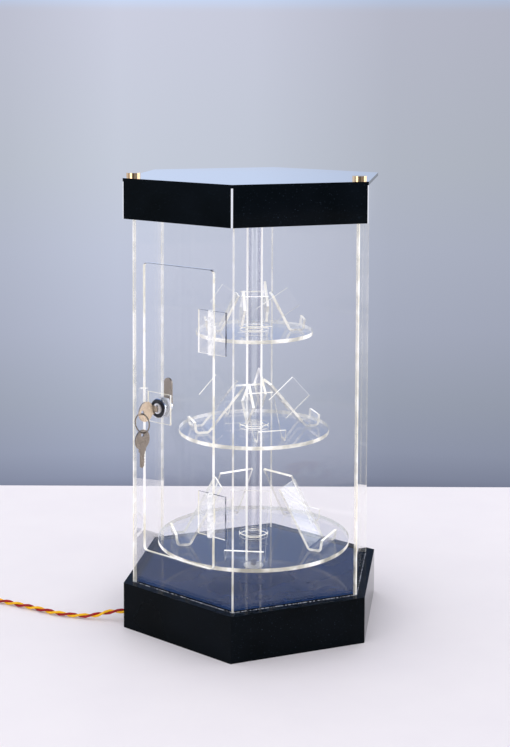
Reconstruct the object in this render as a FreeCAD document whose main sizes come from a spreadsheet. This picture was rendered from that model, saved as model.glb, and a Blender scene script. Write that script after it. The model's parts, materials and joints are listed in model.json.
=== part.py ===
"""Six-sided clear acrylic display cabinet with a motor-driven carousel, a hinged door and a cam lock.

Millimetres, +Z up. The origin is the middle of the underside. The door panel faces -Y.
"""

import FreeCAD, Part
import math
import os

from FreeCAD import Placement, Rotation, Vector

SIZES = {
    # Six-sided base and cap
    "corner_radius": 165, "wall": 5, "base_height": 54, "deck_thick": 5, "floor_thick": 4,
    "cap_height": 47.5, "lid_thick": 4, "cap_floor_thick": 5,
    "post_radius": 6, "post_inset": 13, "screw_head_radius": 8.25, "screw_head_height": 6,
    "screw_radius": 2.5,
    "screw_grip": 12, "screw_fit": 0.2,
    # Clear enclosure
    "ledge": 10, "panel_thick": 4, "clear_height": 433.5, "groove_depth": 1.5, "groove_fit": 0.2,
    # Door and its opening
    "door_left_margin": 16.9, "door_right_margin": 29.8, "door_low": 96, "door_tall": 341,
    "door_corner": 5, "door_gap": 1,
    # Hinges
    "leaf_wide": 20, "leaf_tall": 49, "leaf_thick": 2.5, "knuckle_radius": 3.5, "knuckle_lift": 0.4,
    "knuckle_gap": 0.4, "pin_radius": 1.5, "pin_fit": 0.05, "pin_head_radius": 2.6, "pin_head_height": 1.2,
    "upper_hinge_drop": 94, "lower_hinge_rise": 39.5,
    # Cam lock, keys and strike
    "lock_inset": 27, "lock_rise": 174, "lock_plate_side": 35, "lock_plate_thick": 2.5,
    "bezel_radius": 11.5, "bezel_deep": 2.4, "bezel_slope": 1.4, "dish_radius": 8.6, "dish_deep": 0.8,
    "barrel_radius": 8.5, "barrel_behind": 8.5, "nut_radius": 12.5, "nut_thick": 4,
    "plug_radius": 6, "plug_fit": 0.08, "plug_proud": 0.6, "slot_tall": 9, "slot_wide": 2.4,
    "cam_reach": 33,
    "cam_wide": 12, "cam_thick": 2, "cam_gap": 0.4, "cam_screw_radius": 4, "cam_screw_tall": 3.5,
    "key_thick": 1.6, "bow_radius": 11.5, "bow_hole": 2.6, "bow_hole_inset": 5.5, "neck_wide": 10.5,
    "neck_long": 2.5, "blade_wide": 6.6, "tooth_pitch": 3.4, "tooth_deep": 2.3,
    "blade_long": 18.5, "key_stand_off": 4.6, "ring_radius": 11,
    "ring_wire": 0.8, "ring_seat": 0.3, "spare_seat": 0.05, "strike_wide": 9, "strike_gap": 2.2,
    "strike_thick": 8, "strike_tall": 34,
    # Carousel
    "column_radius": 10, "column_bore": 7, "hub_radius": 18, "hub_tall": 6, "hub_gap": 0.4,
    "hub_spigot": 16,
    "spigot_fit": 0.1, "stud_fit": 0.1, "stud_long": 15, "top_gap": 0.5, "collar_radius": 18,
    "collar_tall": 5,
    "shelf_thick": 4.5, "shelf_fit": 0.1, "lower_z": 92, "middle_z": 227, "upper_z": 347,
    "lower_radius": 117, "middle_radius": 91.5, "upper_radius": 71,
    # Heat-bent easels and the clear cheeks on the sides of the two upper rings of them
    "sheet_thick": 3, "bend_radius": 2.5, "lip_tilt": 8,
    "lower_width": 46, "lower_foot_r": 81.5, "lower_seat": 17, "lower_lip": 14, "lower_back": 78.5,
    "lower_lean": 60.4,
    "middle_width": 34, "middle_foot_r": 60.5, "middle_seat": 17, "middle_lip": 14, "middle_back": 70,
    "middle_short": 60, "middle_lean": 50,
    "upper_width": 30, "upper_foot_r": 41, "upper_seat": 18, "upper_lip": 14, "upper_back": 48,
    "upper_lean": 63,
    "cheek_thick": 3, "middle_cheek_r": 39, "middle_cheek_z": 38, "middle_cheek_long": 40,
    "middle_cheek_wide": 32, "middle_cheek_rise": 42, "upper_cheek_r": 26.5, "upper_cheek_z": 30,
    "upper_cheek_long": 45, "upper_cheek_wide": 26, "upper_cheek_rise": 34,
    # Gear motor
    "motor_radius": 25, "motor_tall": 23, "shaft_radius": 3.5, "shaft_fit": 0.08, "ear_radius": 6,
    "ear_span": 31,
    "ear_thick": 3, "motor_screw_radius": 1.5, "motor_screw_head": 3, "motor_screw_head_tall": 2,
    "bush_radius": 9, "bush_flange": 12, "bush_flange_tall": 1.5,
    # Twisted pair
    "cord_radius": 3, "cord_exit_z": 12, "cord_exit_along": 64, "cord_straight": 16, "grommet_radius": 4.6,
    "grommet_flange": 6,
    "grommet_proud": 2, "coil_outer": 41.25, "coil_step": 6.6, "coil_turns_in": 2.5, "coil_turns_out": 2,
    "plug_long": 18, "plug_wide": 9, "plug_thick": 6.2, "plug_socket": 1.8, "plug_socket_deep": 10,
}

SIDES = 6
SIDE_TURN = 360 / SIDES
CORD_SIDE = 5
CLEAR_SIDES = ["door_frame", "right_front", "right_back", "back", "left_back", "left_front"]
# Plan angle of the first easel on each shelf, and how many stand evenly round it.
EASEL_TURNS = {"lower": 14.3, "middle": 54.3, "upper": 44.3}
EASEL_COUNTS = {"lower": 5, "middle": 4, "upper": 4}
# Where the free twisted pair lies between the grommet and its put-away coil.
CORD_ROUTE = [
    (-129.4, -151.3, 3.2), (-168.4, -169.7, 3.2), (-200.0, -174.3, 3.2), (-226.9, -180.5, 3.2),
    (-243.7, -183.9, 3.2), (-272.0, -191.0, 3.2), (-300.0, -199.0, 3.2),
]

doc = FreeCAD.newDocument("display_cabinet")
sheet = doc.addObject("Spreadsheet::Sheet", "Sizes")
nodes = []


def fill_sheet():
    for row, (alias, value) in enumerate(SIZES.items(), start=1):
        sheet.set(f"A{row}", alias)
        sheet.set(f"B{row}", str(value))
        sheet.setAlias(f"B{row}", alias)
    doc.recompute()


def size(alias):
    return float(sheet.get(alias))


def cell(text):
    """The expression text with each size's alias pointed at the sheet."""
    words = []
    word = ""
    for char in text + " ":
        if char.isalnum() or char == "_":
            word += char
            continue
        words.append(f"Sizes.{word}" if word in SIZES else word)
        words.append(char)
        word = ""
    return "".join(words).strip()


def make(kind, name, at=None, turn=None, **values):
    """A primitive whose sizes, and whose place in at, are expressions on the sheet."""
    thing = doc.addObject(f"Part::{kind}", name)
    for key, text in values.items():
        thing.setExpression(key, cell(str(text)))
    if turn:
        thing.Placement = Placement(Vector(), turn)
    for axis, text in zip("xyz", at or ()):
        thing.setExpression(f"Placement.Base.{axis}", cell(str(text)))
    return thing


def cut(name, base, *tools):
    result = base
    for number, tool in enumerate(tools):
        piece = doc.addObject("Part::Cut", f"{name}_cut{number}")
        piece.Base, piece.Tool = result, tool
        result = piece
    return result


def fuse(name, *shapes):
    joined = doc.addObject("Part::MultiFuse", name)
    joined.Shapes = list(shapes)
    joined.Refine = True
    return joined


def group(name, *shapes):
    together = doc.addObject("Part::Compound", name)
    together.Links = list(shapes)
    return together


def rounded(name, base, radius, chosen):
    """The base with a fillet of the named radius on each edge that the test picks."""
    doc.recompute()
    round_edges = doc.addObject("Part::Fillet", name)
    round_edges.Base = base
    picked = [n for n, edge in enumerate(base.Shape.Edges, start=1) if chosen(edge)]
    round_edges.Edges = [(n, size(radius), size(radius)) for n in picked]
    return round_edges


def along(axis):
    """A test for straight edges that run along the axis."""
    def test(edge):
        line = edge.lastVertex().Point - edge.firstVertex().Point
        return line.Length > 1e-6 and abs(line.normalize().dot(axis)) > 0.999
    return test


def shaped(name, shape, place=None):
    """A piece whose outline is drawn in code from the sheet's sizes."""
    piece = doc.addObject("Part::Feature", name)
    piece.Shape = shape
    piece.Placement = place or Placement()
    return piece


def node(name, piece):
    """Names the finished piece, which its file is called after."""
    piece.Label = name
    nodes.append((name, piece))
    return piece


X, Y, Z = Vector(1, 0, 0), Vector(0, 1, 0), Vector(0, 0, 1)
ALONG_Y = Rotation(X, -90)
APOTHEM = "(corner_radius * cos(30 deg))"
GLASS = "(corner_radius * cos(30 deg) - ledge)"
TOP = "(base_height + clear_height)"
LID_Z = f"({TOP} + cap_height - lid_thick)"
GLASS_LOW = "(base_height - groove_depth)"
PANEL_HALF = "((corner_radius * cos(30 deg) - ledge) * tan(30 deg))"
DOOR_LEFT = f"(door_left_margin - {PANEL_HALF})"
DOOR_WIDE = f"(2 * {PANEL_HALF} - door_left_margin - door_right_margin)"
DOOR_RIGHT = f"({PANEL_HALF} - door_right_margin)"
LOCK_Z = "(door_low + lock_rise)"
HINGE_LOW = {"upper": "(door_low + door_tall - upper_hinge_drop)", "lower": "(door_low + lower_hinge_rise)"}
HINGE_X = f"({DOOR_RIGHT} + door_gap / 2)"
HINGE_Y = f"(-{GLASS} - knuckle_radius - knuckle_lift)"
LOCK_X = f"({DOOR_LEFT} + lock_inset)"


def mitred(name, apothem, thick, low, high, side):
    """One flat side of a six-sided ring, mitred to meet its neighbours."""
    outer = f"({apothem} * tan(30 deg))"
    inner = f"(({apothem} - {thick}) * tan(30 deg))"
    return make(
        "Wedge", name, turn=Rotation(Z, side * SIDE_TURN),
        Xmin=f"-{outer}", Xmax=outer, X2min=f"-{inner}", X2max=inner,
        Ymin=f"-{apothem}", Ymax=f"-({apothem} - {thick})",
        Zmin=low, Zmax=high, Z2min=low, Z2max=high,
    )


def six_sided(name, apothem, low, tall):
    return make("Prism", name, at=(0, 0, low), Polygon=SIDES, Circumradius=f"{apothem} / cos(30 deg)",
                Height=tall)


def drum(name, radius, low, tall, x=0, y=0):
    return make("Cylinder", name, at=(x, y, low), Radius=radius, Height=tall)


def rod(name, radius, x, y, z, deep):
    """A cylinder along +Y."""
    return make("Cylinder", name, at=(x, y, z), turn=ALONG_Y, Radius=radius, Height=deep)


def block(name, x, y, z, wide, deep, tall):
    return make("Box", name, at=(x, y, z), Length=wide, Width=deep, Height=tall)


def glass_groove(name, low):
    """The shallow six-sided groove that the clear panels stand in."""
    deep = "groove_depth"
    outer = six_sided(f"{name}_outer", f"({GLASS} + groove_fit)", low, deep)
    inner = six_sided(f"{name}_inner", f"({GLASS} - panel_thick - groove_fit)", low, deep)
    return cut(name, outer, inner)


def corner_place(inset, corner):
    angle = f"{corner * SIDE_TURN} deg"
    reach = f"(corner_radius - {inset})"
    return f"{reach} * cos({angle})", f"{reach} * sin({angle})"


def on_cord_side(name, piece):
    """The piece turned from the door's side of the base to the side that the cord leaves."""
    turned = group(name, piece)
    turned.Placement = Placement(Vector(), Rotation(Z, CORD_SIDE * SIDE_TURN))
    return turned


def base():
    walls = [mitred(f"base_wall{n}", APOTHEM, "wall", "0", "base_height", n) for n in range(SIDES)]
    hole = rod("cord_hole", "grommet_radius", "cord_exit_along", f"-{APOTHEM} - wall", "cord_exit_z",
               "3 * wall")
    walls[CORD_SIDE] = cut("cord_wall", walls[CORD_SIDE], on_cord_side("cord_hole_turned", hole))
    node("base_sides", group("base_sides", *walls))

    slab = six_sided("deck_slab", f"({APOTHEM} - wall)", "base_height - deck_thick", "deck_thick")
    bush_hole = drum("deck_hole", "bush_radius", "0", "2 * base_height")
    ear_holes = [drum(f"deck_ear_hole{n}", "motor_screw_radius", "0", "2 * base_height",
                      f"{sign} * ear_span")
                 for n, sign in enumerate((-1, 1))]
    groove = glass_groove("deck_groove", "base_height - groove_depth")
    node("deck", cut("deck", slab, bush_hole, groove, *ear_holes))
    node("base_bottom", six_sided("base_bottom", f"({APOTHEM} - wall)", "0", "floor_thick"))

    x, y, z = "cord_exit_along", f"-{APOTHEM} - grommet_proud", "cord_exit_z"
    sleeve = rod("grommet_sleeve", "grommet_radius", x, y, z, "grommet_proud + wall + 2")
    flange = rod("grommet_flange", "grommet_flange", x, y, z, "grommet_proud")
    bore = rod("grommet_bore", "cord_radius - 0.6", x, f"{y} - wall", z, "6 * wall")
    ring = cut("grommet_ring", fuse("grommet_body", sleeve, flange), bore)
    node("cord_grommet", on_cord_side("cord_grommet", ring))


def drive():
    """The gear motor under the deck, its bush in the deck and the shaft that turns the carousel."""
    under = "(base_height - deck_thick)"
    can = drum("motor_can", "motor_radius", f"{under} - motor_tall", "motor_tall")
    ears = [drum(f"motor_ear{n}", "ear_radius", f"{under} - ear_thick", "ear_thick", f"{sign} * ear_span")
            for n, sign in enumerate((-1, 1))]
    web = block("motor_web", "-ear_span", "-ear_radius", f"{under} - ear_thick", "2 * ear_span",
                "2 * ear_radius",
                "ear_thick")
    holes = [drum(f"motor_ear_hole{n}", "motor_screw_radius", "0", "base_height", f"{sign} * ear_span")
             for n, sign in enumerate((-1, 1))]
    bore = drum("motor_bore", "shaft_radius + shaft_fit", f"{under} - motor_tall / 2", "motor_tall")
    node("motor", cut("motor", fuse("motor_body", can, web, *ears), bore, *holes))

    screws = []
    for n, sign in enumerate((-1, 1)):
        place = f"{sign} * ear_span"
        shank = drum(f"motor_shank{n}", "motor_screw_radius", f"{under} - ear_thick",
                     "ear_thick + deck_thick", place)
        head = drum(f"motor_head{n}", "motor_screw_head", f"{under} - ear_thick - motor_screw_head_tall",
                    "motor_screw_head_tall", place)
        screws.append(fuse(f"motor_screw{n}", shank, head))
    node("motor_screws", group("motor_screws", *screws))

    sleeve = drum("bush_sleeve", "bush_radius", under, "deck_thick")
    flange = drum("bush_rim", "bush_flange", "base_height", "bush_flange_tall")
    hole = drum("bush_hole", "shaft_radius + shaft_fit", under, "3 * deck_thick")
    node("shaft_bush", cut("shaft_bush", fuse("bush_body", sleeve, flange), hole))

    start = f"({under} - motor_tall / 2 + 1)"
    hub_low = "(base_height + bush_flange_tall + hub_gap)"
    node("motor_shaft", drum("motor_shaft", "shaft_radius", start, f"{hub_low} + hub_tall - {start}"))
    flange = drum("hub_flange", "hub_radius", hub_low, "hub_tall")
    spigot = drum("hub_spigot", "column_bore - spigot_fit", f"{hub_low} + hub_tall", "hub_spigot")
    socket = drum("hub_socket", "shaft_radius", hub_low, "hub_tall")
    node("column_hub", cut("column_hub", fuse("hub_body", flange, spigot), socket))


HUB_TOP = "(base_height + bush_flange_tall + hub_gap + hub_tall)"
COLUMN_TOP = f"({TOP} - top_gap)"


def carousel():
    outside = drum("column_outside", "column_radius", HUB_TOP, f"{COLUMN_TOP} - {HUB_TOP}")
    inside = drum("column_inside", "column_bore", HUB_TOP, "clear_height")
    node("column", cut("column", outside, inside))
    for level in ("lower", "middle", "upper"):
        disc = drum(f"{level}_disc", f"{level}_radius", f"{level}_z - shelf_thick", "shelf_thick")
        hole = drum(f"{level}_hole", "column_radius + shelf_fit", f"{level}_z - 2 * shelf_thick",
                    "3 * shelf_thick")
        node(f"{level}_shelf", cut(f"{level}_shelf", disc, hole))
        ring = drum(f"{level}_ring", "collar_radius", f"{level}_z", "collar_tall")
        bore = drum(f"{level}_bore", "column_radius + shelf_fit", f"{level}_z", "2 * collar_tall")
        node(f"{level}_collar", cut(f"{level}_collar", ring, bore))
        for number in range(EASEL_COUNTS[level]):
            easel(level, number)


def crossing(a, b, c, d):
    """Where the lines a-b and c-d meet."""
    ax, az, bx, bz = b[0] - a[0], b[1] - a[1], d[0] - c[0], d[1] - c[1]
    reach = ((c[0] - a[0]) * bz - (c[1] - a[1]) * bx) / (ax * bz - az * bx)
    return a[0] + ax * reach, a[1] + az * reach


def upper_face(path, thick):
    """The corners of the path's other face, a sheet's thickness to the left of travel."""
    lines = []
    for (x0, z0), (x1, z1) in zip(path, path[1:]):
        scale = thick / math.hypot(x1 - x0, z1 - z0)
        aside_x, aside_z = -(z1 - z0) * scale, (x1 - x0) * scale
        lines.append(((x0 + aside_x, z0 + aside_z), (x1 + aside_x, z1 + aside_z)))
    folds = [crossing(*first, *second) for first, second in zip(lines, lines[1:])]
    return [lines[0][0], *folds, lines[-1][1]]


def round_fold(strip, spot, radius):
    """The strip with the straight edge above the spot rounded."""
    def is_fold(edge):
        return all(math.hypot(v.X - spot[0], v.Z - spot[1]) < 1e-5 for v in edge.Vertexes)
    return strip.makeFillet(radius, [edge for edge in strip.Edges if is_fold(edge)])


def bent_sheet(path, thick, bend, width):
    """A strip of sheet folded upward along the path, which is its lower face drawn in XZ."""
    upper = upper_face(path, thick)
    outline = [Vector(x, -width / 2, z) for x, z in path + upper[::-1] + path[:1]]
    strip = Part.Face(Part.makePolygon(outline)).extrude(Vector(0, width, 0))
    for below, above in zip(path[1:-1], upper[1:-1]):
        strip = round_fold(strip, above, bend)
        strip = round_fold(strip, below, bend + thick)
    return strip


def cheek(level, width):
    """A tilted clear rectangle glued on the side of an easel."""
    thick, long, wide = size("cheek_thick"), size(f"{level}_cheek_long"), size(f"{level}_cheek_wide")
    plate = Part.makeBox(long, thick, wide, Vector(-long / 2, -thick, -wide / 2))
    middle = Vector(size(f"{level}_cheek_r"), -width / 2, size(f"{level}_cheek_z"))
    plate.Placement = Placement(middle, Rotation(Y, -size(f"{level}_cheek_rise"))).multiply(plate.Placement)
    return plate


def easel(level, number):
    """One heat-bent easel: a lip, a flat seat glued to the shelf and a back that leans to the column."""
    width, foot, seat, lip = [size(f"{level}_{name}") for name in ("width", "foot_r", "seat", "lip")]
    lean, tilt = math.radians(size(f"{level}_lean")), math.radians(size("lip_tilt"))
    short = level == "middle" and number % 2 == 1
    back = size("middle_short" if short else f"{level}_back")
    path = [
        (foot - back * math.cos(lean), back * math.sin(lean)),
        (foot, 0),
        (foot + seat, 0),
        (foot + seat + lip * math.tan(tilt), lip),
    ]
    pieces = [bent_sheet(path, size("sheet_thick"), size("bend_radius"), width)]
    if level != "lower":
        pieces.append(cheek(level, width))
    turn = Rotation(Z, EASEL_TURNS[level] + number * 360 / EASEL_COUNTS[level])
    name = f"stand_{level}_{number + 1}"
    node(name, shaped(name, Part.makeCompound(pieces), Placement(Vector(0, 0, size(f"{level}_z")), turn)))


def enclosure():
    low, high = GLASS_LOW, f"({TOP} + groove_depth)"
    for side, name in enumerate(CLEAR_SIDES):
        panel = mitred(f"{name}_panel", GLASS, "panel_thick", low, high, side)
        if name == "door_frame":
            hole = block("door_hole", f"{DOOR_LEFT} - door_gap", f"-{GLASS} - panel_thick",
                         "door_low - door_gap",
                         f"{DOOR_WIDE} + 2 * door_gap", "3 * panel_thick", "door_tall + 2 * door_gap")
            panel = cut("door_frame", panel, rounded("door_hole_round", hole, "door_corner", along(Y)))
        node(f"{name}_panel", panel)
    node("lock_strike", block("lock_strike", f"{DOOR_LEFT} - strike_gap - strike_wide",
                              f"-({GLASS} - panel_thick)",
                              f"{LOCK_Z} - strike_tall / 2", "strike_wide", "strike_thick", "strike_tall"))


def cap():
    walls = [mitred(f"cap_wall{n}", APOTHEM, "wall", TOP, LID_Z, n) for n in range(SIDES)]
    node("cap_sides", group("cap_sides", *walls))
    slab = six_sided("cap_slab", f"({APOTHEM} - wall)", TOP, "cap_floor_thick")
    groove = glass_groove("cap_groove", TOP)
    stud_hole = drum("cap_stud_hole", "column_bore - stud_fit", TOP, "2 * cap_floor_thick")
    node("cap_floor", cut("cap_floor", slab, groove, stud_hole))
    stem = drum("top_stud", "column_bore - stud_fit", f"{TOP} - stud_long", "stud_long + cap_floor_thick")
    node("top_stud", stem)

    lid = six_sided("lid_slab", APOTHEM, LID_Z, "lid_thick")
    posts, screws, holes = [], [], []
    for n, corner in enumerate((0, 4)):
        x, y = corner_place("post_inset", corner)
        holes.append(drum(f"lid_hole{n}", "screw_radius + screw_fit", f"{LID_Z} - lid_thick",
                          "3 * lid_thick", x, y))
        post = drum(f"post{n}", "post_radius", f"{TOP} + cap_floor_thick",
                    "cap_height - lid_thick - cap_floor_thick", x, y)
        tapped = drum(f"post_hole{n}", "screw_radius", f"{LID_Z} - screw_grip", "2 * screw_grip", x, y)
        posts.append(cut(f"lid_post{n}", post, tapped))
        shank = drum(f"lid_shank{n}", "screw_radius", f"{LID_Z} - screw_grip", "screw_grip + lid_thick", x,
                     y)
        head = drum(f"lid_head{n}", "screw_head_radius", f"{LID_Z} + lid_thick", "screw_head_height", x, y)
        screws.append(fuse(f"lid_screw{n}", shank, head))
    node("lid", cut("lid", lid, *holes))
    node("lid_posts", group("lid_posts", *posts))
    node("lid_screws", group("lid_screws", *screws))


def door():
    slab = block("door_slab", DOOR_LEFT, f"-{GLASS}", "door_low", DOOR_WIDE, "panel_thick",
                 "door_tall")
    leaf = rounded("door_round", slab, "door_corner", along(Y))
    hole = rod("door_lock_hole", "barrel_radius", LOCK_X, f"-{GLASS} - panel_thick", LOCK_Z,
               "3 * panel_thick")
    node("door", cut("door", leaf, hole))
    pins = []
    for level in ("upper", "lower"):
        pins.append(hinge(level))
    node("hinge_pins", group("hinge_pins", *pins))


def hinge(level):
    """A three-knuckle clear butt hinge. Returns its pin."""
    low = HINGE_LOW[level]
    third = "(leaf_tall / 3)"
    face = f"-{GLASS} - leaf_thick"
    reach = "(knuckle_radius + knuckle_gap)"
    bore = drum(f"{level}_pin_bore", "pin_radius + pin_fit", f"{low} - leaf_tall", "3 * leaf_tall",
                HINGE_X, HINGE_Y)

    def knuckle(name, start, tall, toward):
        barrel = drum(f"{name}_barrel", "knuckle_radius", start, tall, HINGE_X, HINGE_Y)
        edge = HINGE_X if toward > 0 else f"{HINGE_X} - {reach} - 1"
        tongue = block(f"{name}_tongue", edge, face, start, f"{reach} + 1", "leaf_thick", tall)
        return [barrel, tongue]

    frame_leaf = block(f"{level}_frame_plate", f"{HINGE_X} + {reach}", face, low, f"leaf_wide - {reach}",
                       "leaf_thick",
                       "leaf_tall")
    frame_parts = [frame_leaf]
    for end in (0, 2):
        frame_parts += knuckle(f"{level}_frame{end}", f"{low} + {end} * {third}", f"{third}", 1)
    frame_piece = cut(f"{level}_hinge_frame", fuse(f"{level}_frame_body", *frame_parts), bore)
    node(f"{level}_hinge_frame_leaf", frame_piece)

    door_leaf = block(f"{level}_door_plate", f"{HINGE_X} - leaf_wide", face, low, f"leaf_wide - {reach}",
                      "leaf_thick",
                      "leaf_tall")
    middle = knuckle(f"{level}_door", f"{low} + {third} + knuckle_gap", f"{third} - 2 * knuckle_gap", -1)
    door_piece = cut(f"{level}_hinge_door", fuse(f"{level}_door_body", door_leaf, *middle), bore)
    node(f"{level}_hinge_door_leaf", door_piece)

    stem = drum(f"{level}_pin_stem", "pin_radius", low, "leaf_tall", HINGE_X, HINGE_Y)
    head = drum(f"{level}_pin_head", "pin_head_radius", f"{low} + leaf_tall", "pin_head_height", HINGE_X,
                HINGE_Y)
    return fuse(f"{level}_hinge_pin", stem, head)


def lock():
    face = f"(-{GLASS})"
    plate_y = f"({face} - lock_plate_thick)"
    front = f"({plate_y} - bezel_deep)"
    inner = f"({face} + panel_thick)"
    half = "lock_plate_side / 2"
    plate = block("lock_plate_slab", f"{LOCK_X} - {half}", plate_y, f"{LOCK_Z} - {half}", "lock_plate_side",
                  "lock_plate_thick", "lock_plate_side")
    hole = rod("lock_plate_hole", "barrel_radius", LOCK_X, f"{plate_y} - 9", LOCK_Z, "30")
    node("lock_plate", cut("lock_plate", plate, hole))

    rim = f"({front} + bezel_slope)"
    bezel = rod("lock_bezel", "bezel_radius", LOCK_X, rim, LOCK_Z, "bezel_deep - bezel_slope")
    slope = make("Cone", "lock_slope", at=(LOCK_X, front, LOCK_Z), turn=ALONG_Y,
                 Radius1="bezel_radius - bezel_slope", Radius2="bezel_radius", Height="bezel_slope")
    body = rod("lock_body", "barrel_radius", LOCK_X, front, LOCK_Z,
               "bezel_deep + lock_plate_thick + panel_thick + barrel_behind")
    bore = rod("lock_bore", "plug_radius + plug_fit", LOCK_X, f"{front} - 9", LOCK_Z, "60")
    dish = rod("lock_dish", "dish_radius", LOCK_X, f"{front} - 9", LOCK_Z, "9 + dish_deep")
    node("lock_barrel", cut("lock_barrel", fuse("lock_shell", slope, bezel, body), bore, dish))

    outside = make("Prism", "lock_nut_outside", at=(LOCK_X, inner, LOCK_Z), turn=ALONG_Y, Polygon=SIDES,
                   Circumradius="nut_radius", Height="nut_thick")
    inside = rod("lock_nut_inside", "barrel_radius", LOCK_X, f"{inner} - 9", LOCK_Z, "30")
    node("lock_nut", cut("lock_nut", outside, inside))

    cam_y = f"({inner} + barrel_behind + cam_gap)"
    plug = rod("plug_body", "plug_radius", LOCK_X, f"{front} - plug_proud", LOCK_Z,
               f"{cam_y} - ({front} - plug_proud)")
    slot = block("plug_slot", f"{LOCK_X} - slot_wide / 2", f"{front} - 9", f"{LOCK_Z} - slot_tall / 2",
                 "slot_wide",
                 "9 + blade_long - key_stand_off + 1", "slot_tall")
    node("lock_plug", cut("lock_plug", plug, slot))

    boss = rod("cam_boss", "cam_wide / 2", LOCK_X, cam_y, LOCK_Z, "cam_thick")
    arm = block("cam_arm", f"{LOCK_X} - cam_wide / 2", cam_y, LOCK_Z, "cam_wide", "cam_thick",
                "cam_reach - cam_wide / 2")
    tip = rod("cam_tip", "cam_wide / 2", LOCK_X, cam_y, f"{LOCK_Z} + cam_reach - cam_wide / 2", "cam_thick")
    node("lock_cam", fuse("lock_cam", boss, arm, tip))
    screw_y = f"({cam_y} + cam_thick)"
    node("cam_screw", rod("cam_screw", "cam_screw_radius", LOCK_X, screw_y, LOCK_Z, "cam_screw_tall"))

    keys()


def key_shape():
    """A flat key with its bow at the origin, its blade along +Y and its face along X."""
    thick, bow = size("key_thick"), size("bow_radius")
    left = Vector(-thick / 2, 0, 0)
    disc = Part.makeCylinder(bow, thick, left, X)
    neck_end = bow + size("neck_long")
    neck = Part.makeBox(thick, neck_end, size("neck_wide"), left - Z * (size("neck_wide") / 2))
    blade = Part.makeBox(thick, size("blade_long"), size("blade_wide"),
                         left + Y * neck_end - Z * (size("blade_wide") / 2))
    hole = Part.makeCylinder(size("bow_hole"), 3 * thick, Vector(-1.5 * thick,
                                                                 size("bow_hole_inset") - bow, 0), X)
    key = disc.fuse([neck, blade]).removeSplitter().cut(hole)
    return toothed(key, neck_end)


def toothed(key, neck_end):
    """The key with its bitting cut into one edge of the blade and its tip cut to a point."""
    deep, half = size("tooth_deep"), size("blade_wide") / 2
    spots = []
    for step in range(4):
        spots.append((size("tooth_pitch") * (1.2 + step), half, deep * (0.8 + 0.35 * (step % 2))))
    spots += [(size("blade_long"), half, 2 * deep), (size("blade_long"), -half, deep)]
    for along_blade, height, side in spots:
        notch = Part.makeBox(4 * size("key_thick"), side, side)
        spot = Vector(-2 * size("key_thick"), neck_end + along_blade, height)
        turned = Rotation(X, 45)
        middle = turned.multVec(Vector(0, side / 2, side / 2))
        notch.Placement = Placement(spot - middle, turned)
        key = key.cut(notch)
    return key


def keys():
    """One key stands in the lock. Its spare hangs from a wire ring through the first key's bow."""
    glass = size("corner_radius") * math.cos(math.radians(30)) - size("ledge")
    lock_x = size("door_left_margin") - glass * math.tan(math.radians(30)) + size("lock_inset")
    lock_z = size("door_low") + size("lock_rise")
    front = -glass - size("lock_plate_thick")
    front -= size("bezel_deep") + size("plug_proud")
    bow_y = front - size("key_stand_off") - size("bow_radius") - size("neck_long")
    node("key", shaped("key", key_shape(), Placement(Vector(lock_x, bow_y, lock_z), Rotation())))
    hole_y = bow_y - size("bow_radius") + size("bow_hole_inset")
    slack = size("bow_hole") - size("ring_wire")
    ring_z = lock_z - slack + size("ring_seat") - size("ring_radius")
    ring = make("Torus", "key_ring", Radius1="ring_radius", Radius2="ring_wire")
    ring.Placement = Placement(Vector(lock_x, hole_y, ring_z), Rotation(X, 90))
    node("key_ring", ring)
    spare_hole_z = ring_z - size("ring_radius") - slack + size("spare_seat")
    spare_z = spare_hole_z - size("bow_radius") + size("bow_hole_inset")
    place = Placement(Vector(lock_x, hole_y, spare_z), Rotation(X, -90))
    node("spare_key", shaped("spare_key", key_shape(), place))


def arc_from(start, heading, end):
    """The arc that leaves start along heading and passes through end, and its heading there."""
    chord = end - start
    chord_way = Vector(chord).normalize()
    sideways = heading - chord_way * heading.dot(chord_way)
    if sideways.Length < 1e-9:
        return Part.LineSegment(start, end).toShape(), heading
    half = heading.getAngle(chord_way)
    middle = start + chord * 0.5 + sideways.normalize() * (chord.Length / 2 * math.tan(half / 2))
    return Part.Arc(start, middle, end).toShape(), chord_way * (2 * heading.dot(chord_way)) - heading


def biarc(start, heading, end, end_heading):
    """Two arcs that leave start along heading and reach end along end_heading."""
    across, both = end - start, heading + end_heading
    spread = 2 * (1 - heading.dot(end_heading))
    reach = (-across.dot(both) + math.sqrt(across.dot(both) ** 2 + spread * across.dot(across))) / spread
    joint = (start + end + (heading - end_heading) * reach) * 0.5
    first, turned = arc_from(start, heading, joint)
    second, _ = arc_from(joint, turned, end)
    return [first, second]


def tube(edges):
    """A round tube of the cord's size along the edges."""
    path = Part.Wire(edges)
    first = path.OrderedEdges[0]
    start = first.valueAt(first.FirstParameter)
    heading = first.tangentAt(first.FirstParameter)
    if start.distanceToPoint(path.OrderedVertexes[0].Point) > 1e-6:
        start, heading = first.valueAt(first.LastParameter), first.tangentAt(first.LastParameter) * -1
    section = Part.Wire(Part.Circle(start, heading, size("cord_radius")).toShape())
    shell = Part.BRepOffsetAPI.MakePipeShell(path)
    shell.add(section)
    shell.build()
    shell.makeSolid()
    solid = shell.shape()
    ideal = math.pi * size("cord_radius") ** 2 * path.Length
    print(f"cord tube {path.Length:.1f} mm long, volume {solid.Volume / ideal:.4f} of section times length")
    return solid


def grommet_face():
    """The middle of the grommet's outer face, where the free pair starts, and the way out of it."""
    reach = -size("corner_radius") * math.cos(math.radians(30)) - size("grommet_proud")
    turn = Rotation(Z, CORD_SIDE * SIDE_TURN)
    return turn.multVec(Vector(size("cord_exit_along"), reach, size("cord_exit_z"))), turn.multVec(-Y)


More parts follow.
